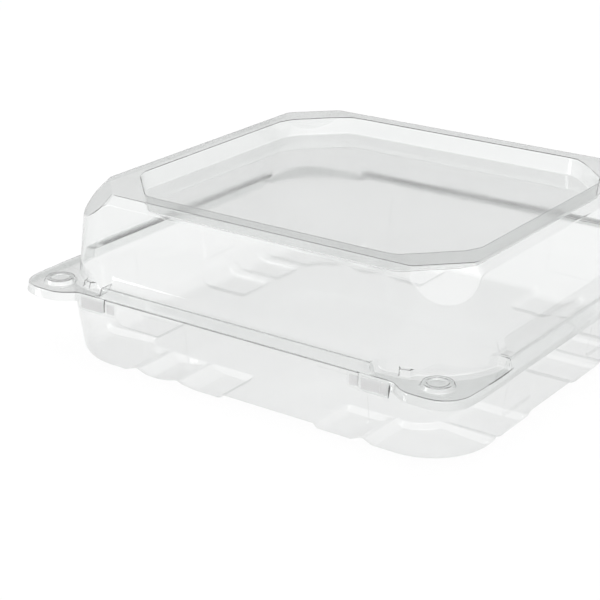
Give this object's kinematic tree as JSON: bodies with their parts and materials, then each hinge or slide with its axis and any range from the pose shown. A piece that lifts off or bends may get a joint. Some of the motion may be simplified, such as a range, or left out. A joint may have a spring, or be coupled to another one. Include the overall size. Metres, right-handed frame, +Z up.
{
  "type": "clamshell food container",
  "caption": "Clear thermoformed hinged food pack: a fluted tray on notched feet, and a domed lid with a stacking ridge, a closing bead and snap-button ears.",
  "frame": {"origin": "middle of the whole pack's box, between its side rims and between the ears and the fold, on the plane that the feet rest on", "axes": "+X along the opening side to the right as seen from the front, -Y towards the opening side and +Y towards the hinge, +Z up"},
  "size_m": [0.2268, 0.2264, 0.0784],
  "materials": {
    "clear_sheet_tray": "clear, glossy thermoformed sheet",
    "clear_sheet_lid": "clear, glossy thermoformed sheet"
  },
  "bodies": {
    "base": {"base_tray": "clear_sheet_tray"},
    "lid": {"lid": "clear_sheet_lid"}
  },
  "joints": [
    {"name": "lid_hinge", "type": "hinge", "parent": "base", "child": "lid", "pos_m": [0, 0.11328, 0.0376], "axis": [-1, 0, 0], "range_deg": [0, 170]}
  ]
}
